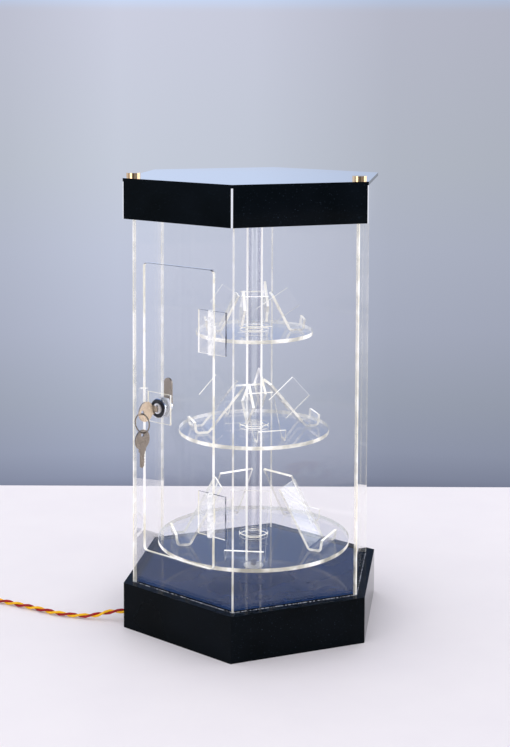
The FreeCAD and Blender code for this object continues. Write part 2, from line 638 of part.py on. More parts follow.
def cord_run():
    face, out = grommet_face()
    points = [face, face + out * size("cord_straight"), *(Vector(*spot) for spot in CORD_ROUTE)]
    edges, radii, here = [], [], points[0]
    for before, corner, after in zip(points, points[1:], points[2:]):
        into, out = corner - before, after - corner
        half = into.getAngle(out) / 2
        setback = 0.45 * min(into.Length, out.Length)
        radii.append(setback / math.tan(half))
        first = corner - into.normalize() * setback
        last = corner + out.normalize() * setback
        edges.append(Part.LineSegment(here, first).toShape())
        edges.append(arc_from(first, into, last)[0])
        here = last
    edges.append(Part.LineSegment(here, points[-1]).toShape())
    print("cord radii", [round(radius) for radius in radii])
    node("supply_cord", shaped("supply_cord", tube(edges)))
    return points[-1], (points[-1] - points[-2]).normalize()


def coil_line(start, heading):
    """Spots and headings at each half turn: in on the floor, up a layer as the spiral reverses,
    then out."""
    outer, step = size("coil_outer"), size("coil_step")
    aside = Vector(-heading.y, heading.x, 0)
    spots, ways = [start + heading * (2 * size("cord_radius"))], [heading]
    radius = outer
    halves_in, halves_out = int(2 * size("coil_turns_in")), int(2 * size("coil_turns_out"))
    for half in range(halves_in + 1 + halves_out):
        climbs = half == halves_in
        spots.append(spots[-1] + aside * (2 * radius) + Z * (step if climbs else 0))
        ways.append(ways[-1] * -1)
        aside = aside * -1
        radius += step / 2 if half >= halves_in else -step / 2
    return spots, ways


def cord_coil():
    start, heading = cord_run()
    heading = Vector(heading.x, heading.y, 0).normalize()
    spots, ways = coil_line(start, heading)
    edges = [Part.LineSegment(start, spots[0]).toShape()]
    for a, way_a, b, way_b in zip(spots, ways, spots[1:], ways[1:]):
        edges += biarc(a, way_a, b, way_b)
    finish = spots[-1] + ways[-1] * (2 * size("cord_radius"))
    edges.append(Part.LineSegment(spots[-1], finish).toShape())
    print(f"coil's least gap to itself {least_gap(edges):.2f} mm")
    node("cord_coil", shaped("cord_coil", tube(edges)))
    cord_plug(finish, ways[-1])


def least_gap(edges):
    """The least clear distance between two stretches of the coil that aren't neighbours along it."""
    line = []
    for edge in edges:
        line += edge.discretize(24)[:-1]
    apart = 30
    least = min(a.distanceToPoint(b) for n, a in enumerate(line) for b in line[n + apart:])
    return least - 2 * size("cord_radius")


def cord_plug(end, heading):
    """A small two-way wire connector on the end of the pair."""
    long, wide, thick = size("plug_long"), size("plug_wide"), size("plug_thick")
    shell = Part.makeBox(long, wide, thick, Vector(0, -wide / 2, -thick / 2))
    rib = Part.makeBox(long * 0.6, wide * 0.3, thick * 0.14, Vector(long * 0.2, -wide * 0.15, thick / 2))
    shell = shell.fuse(rib).removeSplitter()
    side, deep = size("plug_socket"), size("plug_socket_deep")
    for sign in (-1, 1):
        shell = shell.cut(Part.makeBox(deep, side, side, Vector(long - deep, sign * wide / 4 - side / 2,
                                                                -side / 2)))
    turn = Rotation(X, heading)
    node("cord_plug", shaped("cord_plug", shell, Placement(end, turn)))


def write_parts():
    doc.recompute()
    failed = [thing.Name for thing in doc.Objects if {"Invalid", "Error"} & set(thing.State)]
    for name, piece in nodes:
        if piece.Shape.isNull() or not piece.Shape.isValid() or piece.Shape.Volume < 1e-6:
            failed.append(name)
    if failed:
        raise SystemExit(f"these pieces failed: {failed}")
    os.makedirs("parts", exist_ok=True)
    for name, piece in nodes:
        piece.Shape.exportStep(f"parts/{name}.step")
    print(len(nodes), "pieces")


fill_sheet()
base()
drive()
carousel()
enclosure()
cap()
door()
lock()
cord_coil()
write_parts()
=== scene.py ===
"""Looks, light and camera of the six-sided acrylic display cabinet. Metres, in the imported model's frame."""

import json
import math

import bmesh
import bpy
from mathutils import Matrix, Vector


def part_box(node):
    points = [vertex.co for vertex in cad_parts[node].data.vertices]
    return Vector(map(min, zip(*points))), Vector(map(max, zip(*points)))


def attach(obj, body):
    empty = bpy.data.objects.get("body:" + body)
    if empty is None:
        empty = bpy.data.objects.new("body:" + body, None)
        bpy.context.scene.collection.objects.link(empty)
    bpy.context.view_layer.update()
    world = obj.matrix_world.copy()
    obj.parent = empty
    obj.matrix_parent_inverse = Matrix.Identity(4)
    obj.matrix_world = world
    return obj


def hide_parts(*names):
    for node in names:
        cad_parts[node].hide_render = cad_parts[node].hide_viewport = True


MM = 0.001
UP = Vector((0, 0, 1))

# Camera, as seen from the photograph: plan angle from the door's own axis, distance, height, tilts and lens.
CAMERA_TURN, CAMERA_REACH, CAMERA_HEIGHT = 38.73, 1.635, 0.6433
CAMERA_PITCH, CAMERA_ROLL = 4.0, 0.23
CAMERA_SENSOR, CAMERA_LENS, CAMERA_SHIFT = 36, 65.52, -0.2589

# Bounces and passes that a line of sight needs to get through all the clear sheets in a row.
CLEAR_BOUNCES, CLEAR_PASSES = 40, 96

# Twisted pair: its wires, their twist and the flats round a wire, then its route over the table in
# millimetres, and the steps between the points of its curve.
WIRE_RADIUS, WIRE_OFFSET, TWIST_PITCH = 1.42 * MM, 1.5 * MM, 31 * MM
WIRE_SIDES = 10
PAIR_RADIUS = 3 * MM
PAIR_ROUTE = [
    (-93.5, -127.9, 12), (-107.3, -135.9, 12), (-129.4, -151.3, 3.2), (-168.4, -169.7, 3.2),
    (-200, -174.3, 3.2), (-226.9, -180.5, 3.2), (-243.7, -183.9, 3.2), (-272, -191, 3.2), (-300, -199, 3.2),
]
PAIR_STEPS = 6

# Put-away coil: first radius, distance between turns, and half turns in on the table and out on top.
COIL_OUTER, COIL_STEP = 41.25 * MM, 6.6 * MM
COIL_HALVES_IN, COIL_HALVES_OUT = 5, 4
COIL_POINTS_PER_HALF = 8

# Film tie round the coil: thickness, width, height off the table, room round the turns, and rounded corners.
TIE_FILM, TIE_WIDE, TIE_FLOOR, TIE_SLACK = 0.2 * MM, 5 * MM, 0.02 * MM, 3.6 * MM
TIE_BEND, TIE_STEPS = 2 * MM, 4

# Table top: how far it goes to the sides and to the front, and where it ends behind the cabinet.
TABLE_HALF, TABLE_BACK = 4, 0.51

# The backdrop's shades by the rise of the line of sight.
BACKDROP_LOW, BACKDROP_HIGH = -0.29, 0.4
BACKDROP_SHADES = [
    (-0.29, "6f7589"), (-0.28, "858ca2"), (-0.262, "949bb0"), (-0.228, "9ea5b6"), (-0.178, "abb1c4"),
    (-0.12, "b3b9cb"), (-0.058, "b8becb"), (0.054, "bec1d1"), (0.062, "bdcbe5"), (0.13, "bccae6"),
    (0.2, "8c9bbf"), (0.3, "8092b8"),
]

# The backdrop's brightness from left to right, with paler wings outside the view, and the dim room that
# faces it: direction, the two sines between which it changes, then the strengths that it adds at them.
BACKDROP_SIDES = [
    ("right", -0.18, 0.18, 1.08, 0.88), ("right", -0.18, -0.1, -0.08, 0.14), ("right", 0, 0.1, 0, -0.15),
    ("right", 0.2, 0.3, 0, 0.5), ("right", -0.25, -0.7, 0, 0.6), ("away", 0.2, -0.3, 0, -0.75),
]

# Even light from all round, where 1 is white.
ROOM_LIGHT, ROOM_LIGHT_COLOUR = 1.07, "f6f4f6"

# Noise levels between which a pattern changes over: a grain's tones and polish, specks of dust, scuffs on
# clear sheet, and the light in cut edges.
TONE_SPAN = {"From_Min": 0.35, "From_Max": 0.7}
POLISH_SPAN = {"From_Min": 0.3, "From_Max": 0.75}
DUST_SPAN = {"From_Min": 0.7, "From_Max": 0.76}
SCUFF_SPAN = {"From_Min": 0.45, "From_Max": 0.8}
PATCH_SPAN = {"From_Min": 0.42, "From_Max": 0.62}

# Pattern sizes in millimetres: the ripple of cast sheet, the scuffs on clear sheet, the light in cut edges.
SHEET_RIPPLE, SCUFF, EDGE_PATCH = 60, 40, 30

# Colour and size in millimetres of the dust on black sheet, at its sides and on its level tops. Real dust is
# about a tenth of this and wouldn't show, so it is drawn coarser.
SIDE_DUST, TOP_DUST = ("2a3440", 1.4), ("465062", 1.6)

# Grain in millimetres of chromed or polished metal, stamped brass and zinc plate. The real grain is under a
# tenth of this and wouldn't show, so it is drawn coarser.
PLATE_GRAIN, BRASS_GRAIN, ZINC_GRAIN = 0.8, 0.7, 0.6

# Strength of the glow painted on clear sheet for the light that comes out at cut edges, at bent and
# drilled places, and at the easels' polished cheeks.
EDGE_GLOW, FAINT_GLOW, CHEEK_GLOW = 0.3, 0.15, 0.51

# Widest face that is a cut edge.
EDGE_WIDTH = 5.3 * MM

# Clear sheet: its polish between scuffs and in them, and how steeply its mirror comes up at a low angle.
CLEAR_POLISH, GLANCE_POWER = (0.02, 0.06), 5.0

# Clear tube: the facings between which its wall turns grey, and how much its painted bright sides hide.
TUBE_SHADE, TUBE_COVER = {"From_Min": 0.04, "From_Max": 0.12}, 0.95

# Facing from which a panel's corner shows its whole painted bright line, and the share of it that is left
# square on.
CORNER_WHOLE, CORNER_LEFT = 0.3, 0.35

# Radii between the column's bore and its outside, and round the shelves' bores.
COLUMN_WALL, SHELF_BORE = 8.5 * MM, 20 * MM
COLLARS = ["lower_collar", "middle_collar", "upper_collar", "column_hub"]

# Distance from the middle beyond which a panel's narrow sides are its mitres.
MITRE_REACH = 145 * MM

# Reach of a hinge's knuckles from its pin.
KNUCKLE_REACH = 4 * MM

# Depth of the shade painted as a dark line along the door's upper edge, and the height over which it comes
# in.
DOOR_TOP_SHADE, DOOR_SHADE_FADE = 1.2 * MM, 0.3 * MM

# Widths of the chamfers that catch the light and carry the painted glow of the edge looks, and the turns in
# degrees from which an edge gets one.
PANEL_CHAMFER, DOOR_CHAMFER, COLLAR_CHAMFER = 1.4 * MM, 0.7 * MM, 0.8 * MM
MITRE_TURN, CHAMFER_TURN = 100, 40

# Turns in degrees up to which polygons count as one face, and beyond which a chamfered edge stays sharp.
FACE_TURN, CREASE_TURN = 25, 30

# Distances within which corners of polygons are the same corner, for finding faces and for cutting chamfers.
SAME_CORNER, WELD_REACH = 0.001 * MM, 0.01 * MM

# Most that a wall's normal leans up or down, and least that a normal points along a direction that it faces.
WALL_LEAN, FACES_ALONG = 0.5, 0.9

# Reach of the deck inside the clear panels, and of the cap up to the soft start of the highlight painted down
# its corners.
DECK_REACH = 150 * MM
CAP_HIGHLIGHT_REACH, HIGHLIGHT_FADE = 164.3 * MM, 0.1 * MM

# Reach and depth of the dark dish and bezel in the lock's face, short of its bright rim.
DISH_REACH, DISH_DEPTH = 10.8 * MM, 0.9 * MM

# Sides of the cabinet, and the size of the cement bead along the panels' feet.
CABINET_SIDES, BEAD_SIZE = 6, 0.6 * MM

# Sockets of a Mix node that mixes two colours.
FIRST, SECOND, MIXED = 6, 7, 2

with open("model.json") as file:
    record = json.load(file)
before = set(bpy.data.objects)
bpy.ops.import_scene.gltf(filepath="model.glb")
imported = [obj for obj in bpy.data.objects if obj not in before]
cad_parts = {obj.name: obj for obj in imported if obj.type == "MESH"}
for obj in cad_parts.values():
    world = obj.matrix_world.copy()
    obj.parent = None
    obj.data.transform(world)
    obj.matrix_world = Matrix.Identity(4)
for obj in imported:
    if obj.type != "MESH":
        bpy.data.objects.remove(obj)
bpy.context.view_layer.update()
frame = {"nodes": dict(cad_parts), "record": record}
NODES = frame["nodes"]


def colour(code):
    """A linear colour from its sRGB hex code."""
    channels = [int(code[n:n + 2], 16) / 255 for n in (0, 2, 4)]
    return (*(c / 12.92 if c <= 0.04045 else ((c + 0.055) / 1.055) ** 2.4 for c in channels), 1)


def add_node(tree_owner, kind, links=None, **values):
    """A shader node with its settings, its sockets' values and its incoming links."""
    tree = tree_owner.node_tree
    node = tree.nodes.new(kind)
    for name, value in values.items():
        if hasattr(node, name):
            setattr(node, name, value)
    for name, value in values.items():
        if not hasattr(node, name):
            node.inputs[name.replace("_", " ")].default_value = value
    for name, socket in (links or {}).items():
        tree.links.new(socket, node.inputs[name])
    return node


def new_material(name):
    """A material with an empty node tree."""
    material = bpy.data.materials.new(name)
    material.use_nodes = True
    material.node_tree.nodes.clear()
    return material


def solid_material(name, light, dark, grain, polish, relief, specks=None, skim=None, corners=None, **shader):
    """Two tones, a polish and a relief that follow a grain, in millimetres. Where given: dust, a mirror that
    comes up to a share between two facings, and a highlight painted as a pale line beyond a distance from
    the middle."""
    material = new_material(name)
    place = add_node(material, "ShaderNodeTexCoord").outputs["Object"]
    grains = add_node(material, "ShaderNodeTexNoise", {"Vector": place}, Scale=1 / (grain * MM), Detail=4.0)
    share = add_node(material, "ShaderNodeMapRange", {"Value": grains.outputs["Fac"]}, **TONE_SPAN)
    tone = add_node(material, "ShaderNodeMix", {0: share.outputs[0]}, data_type="RGBA")
    tone.inputs[FIRST].default_value = colour(light)
    tone.inputs[SECOND].default_value = colour(dark)
    tint = tone.outputs[MIXED]
    if specks:
        dust_colour, dust_size = specks
        dust = add_node(material, "ShaderNodeTexNoise", {"Vector": place},
                        Scale=1 / (dust_size * MM), Detail=1.0)
        fleck = add_node(material, "ShaderNodeMapRange", {"Value": dust.outputs["Fac"]}, **DUST_SPAN)
        dusty = add_node(material, "ShaderNodeMix", {0: fleck.outputs[0], FIRST: tint}, data_type="RGBA")
        dusty.inputs[SECOND].default_value = colour(dust_colour)
        tint = dusty.outputs[MIXED]
    # Painted highlight: a pale line beyond a distance from the middle.
    if corners:
        highlight_colour, reach = corners
        flat = add_node(material, "ShaderNodeVectorMath", {0: place}, operation="MULTIPLY")
        flat.inputs[1].default_value = (1, 1, 0)
        out = add_node(material, "ShaderNodeVectorMath", {0: flat.outputs[0]}, operation="LENGTH")
        line = add_node(material, "ShaderNodeMapRange", {"Value": out.outputs["Value"]},
                        From_Min=reach, From_Max=reach + HIGHLIGHT_FADE)
        highlighted = add_node(material, "ShaderNodeMix", {0: line.outputs[0], FIRST: tint}, data_type="RGBA")
        highlighted.inputs[SECOND].default_value = colour(highlight_colour)
        tint = highlighted.outputs[MIXED]
    rough = add_node(material, "ShaderNodeMapRange", {"Value": grains.outputs["Fac"]},
                     To_Min=polish[0], To_Max=polish[1], **POLISH_SPAN)
    skin = add_node(material, "ShaderNodeBump", {"Height": grains.outputs["Fac"]},
                    Strength=0.5, Distance=relief * MM)
    body = add_node(material, "ShaderNodeBsdfPrincipled",
                    {"Base Color": tint, "Roughness": rough.outputs[0], "Normal": skin.outputs[0]}, **shader)
    if skim:
        mirror = add_node(material, "ShaderNodeBsdfPrincipled", {"Roughness": rough.outputs[0]},
                          Metallic=1.0, Base_Color=colour("ffffff"))
        facing = add_node(material, "ShaderNodeLayerWeight").outputs["Facing"]
        share = add_node(material, "ShaderNodeMapRange", {"Value": facing},
                         From_Min=skim[0], From_Max=skim[1], To_Max=skim[2])
        body = add_node(material, "ShaderNodeMixShader",
                        {0: share.outputs[0], 1: body.outputs[0], 2: mirror.outputs[0]})
    add_node(material, "ShaderNodeOutputMaterial", {"Surface": body.outputs[0]})
    return material


def clear_material(name, gloss, rim=None):
    """Clear acrylic with faint scuffs: a mirror at a low angle. Where given: bright sides painted with a
    glow, from one facing to another."""
    material = new_material(name)
    place = add_node(material, "ShaderNodeTexCoord").outputs["Object"]
    scuffs = add_node(material, "ShaderNodeTexNoise", {"Vector": place}, Scale=1 / (SCUFF * MM), Detail=2.0)
    rough = add_node(material, "ShaderNodeMapRange", {"Value": scuffs.outputs["Fac"]},
                     To_Min=CLEAR_POLISH[0], To_Max=CLEAR_POLISH[1], **SCUFF_SPAN)
    mirror = add_node(material, "ShaderNodeBsdfPrincipled", {"Roughness": rough.outputs[0]},
                      Metallic=1.0, Base_Color=colour("ffffff"))
    facing = add_node(material, "ShaderNodeLayerWeight").outputs["Facing"]
    steep = add_node(material, "ShaderNodeMath", {0: facing}, operation="POWER")
    steep.inputs[1].default_value = GLANCE_POWER
    share = add_node(material, "ShaderNodeMapRange", {"Value": steep.outputs[0]}, To_Min=gloss, To_Max=1.0)
    through = add_node(material, "ShaderNodeBsdfTransparent", Color=colour("ffffff"))
    if rim:
        bend = add_node(material, "ShaderNodeMapRange", {"Value": facing}, **TUBE_SHADE)
        shade = add_node(material, "ShaderNodeBsdfTransparent", Color=colour("ececf0"))
        through = add_node(material, "ShaderNodeMixShader",
                           {0: bend.outputs[0], 1: through.outputs[0], 2: shade.outputs[0]})
    skin = add_node(material, "ShaderNodeMixShader",
                    {0: share.outputs[0], 1: through.outputs[0], 2: mirror.outputs[0]})
    # Painted highlight: white sides with a glow.
    if rim:
        bright = add_node(material, "ShaderNodeBsdfPrincipled", {"Roughness": rough.outputs[0]},
                          Base_Color=colour("fbfbf8"), Emission_Color=colour("fbfbf8"),
                          Emission_Strength=EDGE_GLOW)
        share = add_node(material, "ShaderNodeMapRange", {"Value": facing},
                         From_Min=rim[0], From_Max=rim[1], To_Max=TUBE_COVER)
        skin = add_node(material, "ShaderNodeMixShader",
                        {0: share.outputs[0], 1: skin.outputs[0], 2: bright.outputs[0]})
    add_node(material, "ShaderNodeOutputMaterial", {"Surface": skin.outputs[0]})
    return material


def edge_material(name, light, dark, grain, cover, glow, upper=None, square_on=None):
    """Cut edge, veil or bead of clear acrylic: a glow of the given strength is painted for the light that
    runs inside it and comes out, here more and there less. Where given: shade painted as a dark colour from a
    height up, and the share of the cover that is left when seen square on."""
    material = new_material(name)
    place = add_node(material, "ShaderNodeTexCoord").outputs["Object"]
    patches = add_node(material, "ShaderNodeTexNoise", {"Vector": place}, Scale=1 / (grain * MM), Detail=3.0)
    share = add_node(material, "ShaderNodeMapRange", {"Value": patches.outputs["Fac"]}, **PATCH_SPAN)
    tone = add_node(material, "ShaderNodeMix", {0: share.outputs[0]}, data_type="RGBA")
    tone.inputs[FIRST].default_value = colour(light)
    tone.inputs[SECOND].default_value = colour(dark)
    tint = tone.outputs[MIXED]
    # Painted shade: a dark colour from a height up.
    if upper:
        shade_colour, height = upper
        rise = add_node(material, "ShaderNodeSeparateXYZ", {"Vector": place}).outputs["Z"]
        share = add_node(material, "ShaderNodeMapRange", {"Value": rise},
                         From_Min=height - DOOR_SHADE_FADE, From_Max=height)
        top_shaded = add_node(material, "ShaderNodeMix", {0: share.outputs[0], FIRST: tint}, data_type="RGBA")
        top_shaded.inputs[SECOND].default_value = colour(shade_colour)
        tint = top_shaded.outputs[MIXED]
    hiding = add_node(material, "ShaderNodeMapRange", {"Value": patches.outputs["Fac"]},
                      To_Min=cover[0], To_Max=cover[1], **PATCH_SPAN)
    if square_on:
        facing = add_node(material, "ShaderNodeLayerWeight").outputs["Facing"]
        left = add_node(material, "ShaderNodeMapRange", {"Value": facing},
                        From_Max=CORNER_WHOLE, To_Min=square_on)
        hiding = add_node(material, "ShaderNodeMath", {0: hiding.outputs[0], 1: left.outputs[0]},
                          operation="MULTIPLY")
    body = add_node(material, "ShaderNodeBsdfPrincipled",
                    {"Base Color": tint, "Emission Color": tint, "Alpha": hiding.outputs[0]},
                    Roughness=0.25, Emission_Strength=glow)
    add_node(material, "ShaderNodeOutputMaterial", {"Surface": body.outputs[0]})
    return material


def clear_looks():
    """Looks of the clear pieces, by the place on a piece."""
    flamed = {"light": "fffefb", "dark": "efe9d2", "grain": EDGE_PATCH, "cover": (0.97, 0.7),
              "glow": EDGE_GLOW}
    return {
        # Clear cast acrylic sheet: hardly seen square on, a mirror at a low angle.
        "sheet": clear_material("clear_cast_acrylic", gloss=0.025),
        # Sawn and flamed edge: white with a painted glow, straw in patches where the light inside has run
        # further.
        "edge": edge_material("flamed_acrylic_edge", **flamed),
        # The same edge round the door, with shade painted as a dark line along its upper run, under the dark
        # cap.
        "door_edge": edge_material("flamed_door_edge_painted_top_shade", **flamed,
                                   upper=("39435a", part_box("door")[1][2] - DOOR_TOP_SHADE)),
        # Chamfered corner of two panels: a bright line painted with a glow, whole from the side, half clear
        # when seen square on.
        "corner": edge_material("chamfered_panel_corner", **flamed, square_on=CORNER_LEFT),
        # Clear acrylic tube: bright sides painted with a glow, for the light its curved wall gathers at both
        # sides.
        "tube": clear_material("clear_acrylic_tube", gloss=0.03, rim=(0.3, 0.42)),
        # Flamed edge of thin bent sheet where it faces down or across: a faint painted glow, fading in
        # patches.
        "bent_edge": edge_material("flamed_bent_edge", "f8f7f1", "d6d3c4", grain=22, cover=(0.95, 0.35),
                                   glow=FAINT_GLOW),
        # Polished edge of an easel's end or cheek that faces up: a fine bright line, a highlight painted with
        # a stronger glow.
        "cheek_edge": edge_material("cheek_edge_painted_highlight", "ffffff", "f2efe2", grain=EDGE_PATCH,
                                    cover=(1.0, 0.78), glow=CHEEK_GLOW),
        # Glued mitre between two panels: a soft straw band with a painted glow.
        "mitre": edge_material("cemented_mitre", "f4f1e8", "e6e0cc", grain=EDGE_PATCH, cover=(0.45, 0.2),
                               glow=EDGE_GLOW),
        # Sawn edge that faces away from the lamps: it shows the dim room.
        "shaded": edge_material("shaded_acrylic_edge", "232c44", "5a6580", grain=14, cover=(0.9, 0.5),
                                glow=0.0),
        # Turned rim of a round shelf: white with a painted glow, straw and half clear in patches.
        "rim": edge_material("turned_acrylic_rim", "fffefb", "e2dab8", grain=34, cover=(0.97, 0.4),
                             glow=EDGE_GLOW),
        # Sheet sanded on its back and glued on: a thin white veil.
        "leaf": edge_material("sanded_acrylic_leaf", "f4f4f6", "e4e6ec", grain=9, cover=(0.2, 0.08),
                              glow=0.0),
        # Drilled and turned knuckle: its rough bore turns it milky, with a faint painted glow.
        "knuckle": edge_material("drilled_acrylic_knuckle", "fafafa", "eceef2", grain=6, cover=(0.7, 0.4),
                                 glow=FAINT_GLOW),
    }


def solid_looks():
    """Looks of the solid pieces by the record's material slots, then of pieces and places with their own."""
    # Black cast acrylic sheet as it stands at the sides of the base and the cap.
    upright = {"light": "03070a", "dark": "080e14", "grain": SHEET_RIPPLE, "polish": (0.03, 0.07),
               "relief": 0.02, "specks": SIDE_DUST, "Specular_IOR_Level": 0.05}
    # The same sheet where it lies level.
    level = {"grain": SHEET_RIPPLE, "polish": (0.02, 0.05), "relief": 0.02, "specks": TOP_DUST}
    looks = {
        # Cast acrylic sheet, polished: a black mirror that keeps a little dust.
        "black_acrylic": solid_material("black_cast_acrylic", **upright),
        # Chromed brass: a bright mirror with hairline scratches.
        "polished_steel": solid_material("chrome_plate", "e4e7ec", "c4c8d0", PLATE_GRAIN, polish=(0.06, 0.16),
                                         relief=0.03, Metallic=1.0),
        # Zinc-plated steel: grey with a brown cast, soft shine.
        "plated_steel": solid_material("zinc_plate", "a1978b", "7f766b", ZINC_GRAIN, polish=(0.22, 0.4),
                                       relief=0.02, Metallic=1.0),
        # Stamped key brass: warm, rubbed by use.
        "key_brass": solid_material("key_brass", "decbb4", "bfa98e", BRASS_GRAIN, polish=(0.2, 0.38),
                                    relief=0.02, Metallic=1.0),
        # Moulded nylon: off-white and waxy.
        "white_nylon": solid_material("white_nylon", "e6e6e1", "d6d6cf", grain=4, polish=(0.38, 0.48),
                                      relief=0.03),
        # Moulded rubber: dull black.
        "black_rubber": solid_material("black_rubber", "17171a", "0f0f11", grain=3, polish=(0.5, 0.7),
                                       relief=0.04),
        # Extruded PVC insulation: saturated, with a soft shine.
        "twisted_pvc": solid_material("red_pvc", "ad0016", "8e0010", grain=5, polish=(0.28, 0.4), relief=0.03,
                                      Specular_IOR_Level=0.3),
        # Black sheet with a highlight painted as a pale line down each mitre.
        "cap_sides": solid_material("black_acrylic_painted_corner_highlight", **upright, skim=(0.72, 0.86, 1.0),
                                    corners=("eef3fa", CAP_HIGHLIGHT_REACH)),
        # Black sheet laid level and wiped: it mirrors the studio above it.
        "lid_top": solid_material("polished_black_acrylic", "04070d", "080d15", **level,
                                  skim=(0.75, 0.92, 0.95), Specular_IOR_Level=0.35),
        # Black sheet behind the clear panels, under a film of dust: its navy blue is a painted reflection of
        # the grey-blue backdrop.
        "deck_top": solid_material("dusted_black_acrylic_painted_blue_reflection", "072a5a", "06224c", **level,
                                   Specular_IOR_Level=0.14),
        # Lacquered brass thumb screws: a warm mirror with dark and white bands.
        "lid_screws": solid_material("lacquered_brass", "f0cfa6", "d8ab78", PLATE_GRAIN, polish=(0.03, 0.06),
                                     relief=0.01, Metallic=1.0),
        # Satin chrome on the lock's plug and nut: white, without a sharp mirror.
        "lock_plug": solid_material("satin_chrome", "f2f3f5", "dcdfe4", PLATE_GRAIN, polish=(0.35, 0.5),
                                    relief=0.02, Metallic=0.6),
        # Dish and bezel round the lock's plug, coloured near black: a dark ring inside a bright rim.
        "lock_dish": solid_material("dark_lock_recess", "0c0f16", "1a2130", PLATE_GRAIN, polish=(0.2, 0.4),
                                    relief=0.02),
    }
    looks["lock_nut"] = looks["lock_plug"]
    looks["key_ring"] = looks["plated_steel"]
    return looks


def cut_edges(mesh, limit):
    """Numbers of the polygons that belong to faces narrower than the limit."""
    shape = bmesh.new()
    shape.from_mesh(mesh)
    number = shape.faces.layers.int.new("number")
    for face in shape.faces:
        face[number] = face.index
    bmesh.ops.remove_doubles(shape, verts=shape.verts, dist=SAME_CORNER)
    flat = math.cos(math.radians(FACE_TURN))
    narrow, seen = [], set()
    for first in shape.faces:
        if first in seen:
            continue
        seen.add(first)
        patch, rim = [first], 0.0
        for face in patch:
            for edge in face.edges:
                others = [other for other in edge.link_faces if other is not face]
                if len(others) == 1 and face.normal.dot(others[0].normal) > flat:
                    if others[0] not in seen:
                        seen.add(others[0])
                        patch.append(others[0])
                else:
                    rim += edge.calc_length()
        if rim and 2 * sum(face.calc_area() for face in patch) / rim < limit:
            narrow += [face[number] for face in patch]
    shape.free()
    return narrow


def chamfer(thing, width, slot, limit):
    """A chamfer in its own material along the edges that turn by more than the limit."""
    seam = thing.modifiers.new("seam", "WELD")
    seam.merge_threshold = WELD_REACH
    cut = thing.modifiers.new("chamfer", "BEVEL")
    cut.width = width
    cut.segments = 1
    cut.limit_method = "ANGLE"
    cut.angle_limit = math.radians(limit)
    cut.material = slot
    cut.use_clamp_overlap = True
    crease = thing.modifiers.new("crease", "EDGE_SPLIT")
    crease.split_angle = math.radians(CREASE_TURN)


def is_tube(name, side, hinge):
    """Whether a polygon is part of a clear piece's round outer wall."""
    if name == "hinge_pins":
        return True
    if "_hinge_" in name:
        return (side.center.xy - hinge).length < KNUCKLE_REACH
    return name == "column" and abs(side.normal.z) < WALL_LEAN and side.center.xy.length > COLUMN_WALL


def clear_look(name, side, thin, hinge, aside):
    """Which of the clear looks one polygon of a clear piece has."""
    if is_tube(name, side, hinge):
        return "knuckle" if "_hinge_" in name else "tube"
    if not thin:
        return "leaf" if "_hinge_" in name or name == "lock_strike" else "sheet"
    if name.endswith("_panel"):
        mitre = abs(side.normal.z) < WALL_LEAN and side.center.xy.length > MITRE_REACH
        return "mitre" if mitre else "sheet"
    if name.endswith("_shelf"):
        return "sheet" if side.center.xy.length < SHELF_BORE else "rim"
    if "_hinge_" in name and max(side.normal.x, side.normal.z) > FACES_ALONG:
        return "shaded"
    if name == "door":
        return "door_edge"
    if name.startswith("stand_"):
        # Easel edges that face up get the painted highlight; those across the sheet or facing down get the
        # fainter painted glow.
        across = abs(side.normal.dot(aside)) > FACES_ALONG
        return "bent_edge" if across or side.normal.z < 0 else "cheek_edge"
    return "edge"


def dress_clear(name, looks):
    """Cut edges with a painted glow on a clear piece, painted bright sides on its round walls, and chamfers
    where they show.
    """
    thing = NODES[name]
    mesh = thing.data
    for look in looks.values():
        mesh.materials.append(look)
    slots = list(looks)
    is_round = name == "column" or name in COLLARS
    thin = set() if is_round else set(cut_edges(mesh, EDGE_WIDTH))
    hinge = sum(map(Vector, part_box("hinge_pins")), Vector()).xy / 2
    middle = sum(map(Vector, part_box(name)), Vector()) / 2
    aside = UP.cross(middle).normalized()
    for side in mesh.polygons:
        side.material_index = slots.index(clear_look(name, side, side.index in thin, hinge, aside))
    if name == "door":
        chamfer(thing, DOOR_CHAMFER, slots.index("door_edge"), CHAMFER_TURN)
    elif name in COLLARS:
        chamfer(thing, COLLAR_CHAMFER, slots.index("edge"), CHAMFER_TURN)
    elif name.endswith("_panel"):
        chamfer(thing, PANEL_CHAMFER, slots.index("corner"), MITRE_TURN)


def dress_top(mesh, look, reach):
    """Its own look on a black sheet's level top, as far out as the reach."""
    mesh.materials.append(look)
    for side in mesh.polygons:
        inside = max(mesh.vertices[corner].co.xy.length for corner in side.vertices) < reach
        side.material_index = int(inside and side.normal.z > FACES_ALONG)


def dress_dish(mesh, look):
    """Its own look on the dish and the bezel in the lock's face."""
    mesh.materials.append(look)
    low, high = map(Vector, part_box("lock_barrel"))
    middle = (low + high) / 2
    for side in mesh.polygons:
        off = side.center - middle
        inside = Vector((off.x, off.z)).length < DISH_REACH and side.center.y < low.y + DISH_DEPTH
        side.material_index = int(inside)


def dress(clear, solid):
    """Gives every CAD node its material."""
    for part in frame["record"]["subparts"]:
        name, slot = part["node"], part["material_slot"]
        mesh = NODES[name].data
        mesh.materials.clear()
        if slot == "clear_acrylic":
            dress_clear(name, clear)
        else:
            mesh.materials.append(solid.get(name, solid[slot]))
    dress_top(NODES["deck"].data, solid["deck_top"], DECK_REACH)
    dress_top(NODES["lid"].data, solid["lid_top"], math.inf)
    dress_dish(NODES["lock_barrel"].data, solid["lock_dish"])


def new_piece(name, mesh, looks):
    """A piece that the solids don't have, from a finished mesh and its materials."""
    bmesh.ops.recalc_face_normals(mesh, faces=mesh.faces)
    data = bpy.data.meshes.new(name)
    mesh.to_mesh(data)
    mesh.free()
    for look in looks:
        data.materials.append(look)
    piece = bpy.data.objects.new(name, data)
    bpy.context.collection.objects.link(piece)
    return piece


